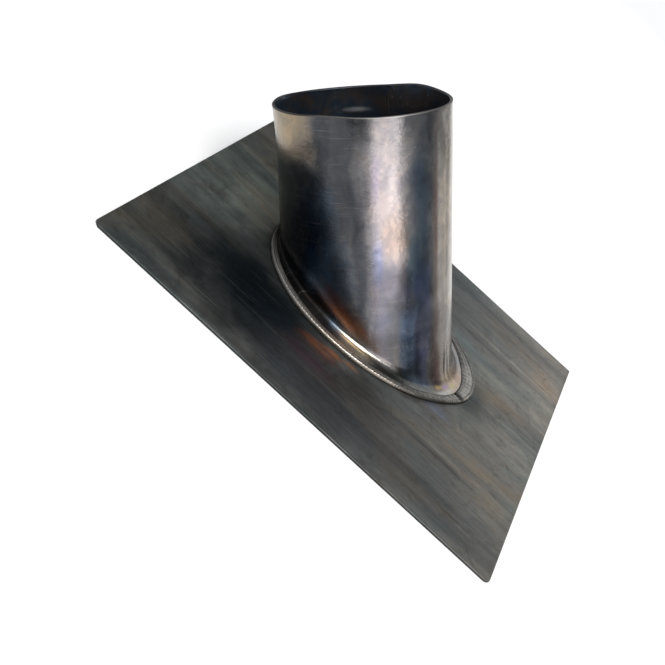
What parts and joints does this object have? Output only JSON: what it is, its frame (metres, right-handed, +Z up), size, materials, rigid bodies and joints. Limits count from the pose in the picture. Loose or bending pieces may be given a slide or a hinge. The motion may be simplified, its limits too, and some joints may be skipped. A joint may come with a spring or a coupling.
{
  "type": "lead pipe flashing boot",
  "caption": "Square sheet lead base with a raked round sleeve, turned out at its foot and lead-burned to the sheet, that weathers a vent pipe where it comes through a pitched roof.",
  "frame": {"origin": "centre of the base sheet's underside, which is the centre of the bottom of the part's box", "axes": "+Z up from the sheet, +X down the roof slope, +Y across the slope; the sleeve leans to -X, up the slope, in the XZ plane"},
  "size_m": [0.31, 0.31, 0.1472],
  "materials": {
    "base_lead": "dull",
    "sleeve_lead": "satin",
    "burned_lead": "satin",
    "seam_lead": "satin"
  },
  "bodies": {
    "root": {"base_sheet": "base_lead", "sleeve": "sleeve_lead", "foot_weld": "burned_lead", "seam_weld": "seam_lead"}
  },
  "joints": []
}
